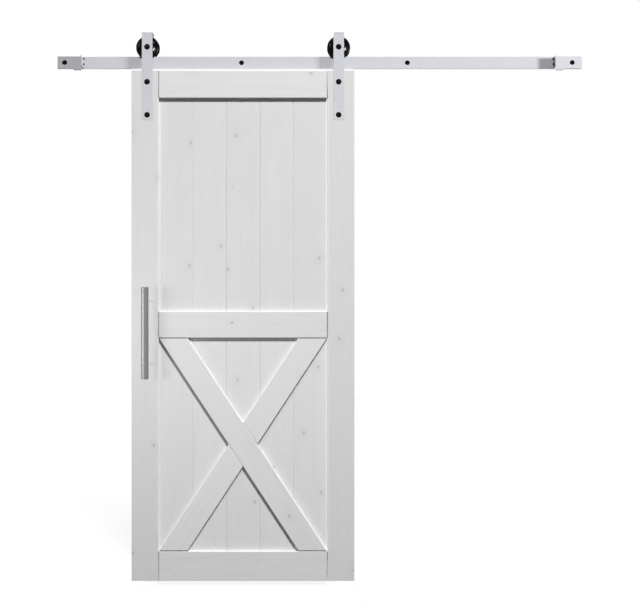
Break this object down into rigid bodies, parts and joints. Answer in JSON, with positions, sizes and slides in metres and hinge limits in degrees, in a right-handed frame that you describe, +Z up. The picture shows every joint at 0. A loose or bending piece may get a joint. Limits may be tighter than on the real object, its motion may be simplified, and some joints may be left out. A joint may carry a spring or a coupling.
{
  "type": "sliding barn door",
  "caption": "White framed door leaf with an X brace in its lower half, hung on strap hangers with grooved wheels that roll along a flat wall track between end stops; bar pull handle.",
  "frame": {"origin": "on the wall plane, halfway between the two outer lag screws and at the track's mid height", "axes": "X along the track to the right, Y into the wall, Z up"},
  "size_m": [2.2, 0.159, 2.2946],
  "materials": {
    "painted_wood": "white-washed softwood, faint grain and knots",
    "bare_wood": "plain fluted dowel wood",
    "white_steel": "satin white powder coat",
    "black_steel": "black oxide, satin",
    "black_nylon": "glossy black nylon",
    "black_rubber": "matt black rubber",
    "zinc_steel": "zinc plated",
    "bearing_steel": "ground steel",
    "stainless": "brushed along the bar"
  },
  "bodies": {
    "track_set": {"track": "white_steel", "wall_spacer_1": "white_steel", "wall_spacer_2": "white_steel", "wall_spacer_3": "white_steel", "wall_spacer_4": "white_steel", "lag_screws": "black_steel", "left_stop": "white_steel", "right_stop": "white_steel", "left_stop_buttons": "black_rubber", "right_stop_buttons": "black_rubber"},
    "door": {"left_stile": "painted_wood", "right_stile": "painted_wood", "top_rail": "painted_wood", "mid_rail": "painted_wood", "bottom_rail": "painted_wood", "frame_dowels": "bare_wood", "upper_board_1": "painted_wood", "upper_board_2": "painted_wood", "upper_board_3": "painted_wood", "upper_board_4": "painted_wood", "upper_board_5": "painted_wood", "lower_board_1": "painted_wood", "lower_board_2": "painted_wood", "lower_board_3": "painted_wood", "lower_board_4": "painted_wood", "lower_board_5": "painted_wood", "long_brace": "painted_wood", "upper_brace": "painted_wood", "lower_brace": "painted_wood", "left_strap": "white_steel", "left_hanger_bolts": "black_steel", "left_barrel_nuts": "zinc_steel", "left_axle": "black_steel", "left_axle_nut": "zinc_steel", "left_axle_sleeves": "bearing_steel", "left_inner_race": "bearing_steel", "right_strap": "white_steel", "right_hanger_bolts": "black_steel", "right_barrel_nuts": "zinc_steel", "right_axle": "black_steel", "right_axle_nut": "zinc_steel", "right_axle_sleeves": "bearing_steel", "right_inner_race": "bearing_steel", "handle_bar": "stainless", "upper_cap": "stainless", "lower_cap": "stainless", "upper_post": "stainless", "lower_post": "stainless", "handle_screws": "zinc_steel"},
    "left_roller": {"left_wheel": "black_nylon", "left_outer_race": "bearing_steel", "left_balls": "bearing_steel"},
    "right_roller": {"right_wheel": "black_nylon", "right_outer_race": "bearing_steel", "right_balls": "bearing_steel"}
  },
  "joints": [
    {"name": "door_slide", "type": "slide", "parent": "track_set", "child": "door", "axis": [1, 0, 0], "range_m": [-0.2398, 0.8718]},
    {"name": "left_wheel_turn", "type": "hinge", "parent": "door", "child": "left_roller", "pos_m": [-0.716, -0.037, 0.0617], "axis": [0, 1, 0], "continuous": true},
    {"name": "right_wheel_turn", "type": "hinge", "parent": "door", "child": "right_roller", "pos_m": [0.084, -0.037, 0.0617], "axis": [0, 1, 0], "continuous": true}
  ],
  "couplings": [
    {"joint": "left_wheel_turn", "follows": "door_slide", "rad_per_m": 27.778},
    {"joint": "right_wheel_turn", "follows": "door_slide", "rad_per_m": 27.778}
  ]
}
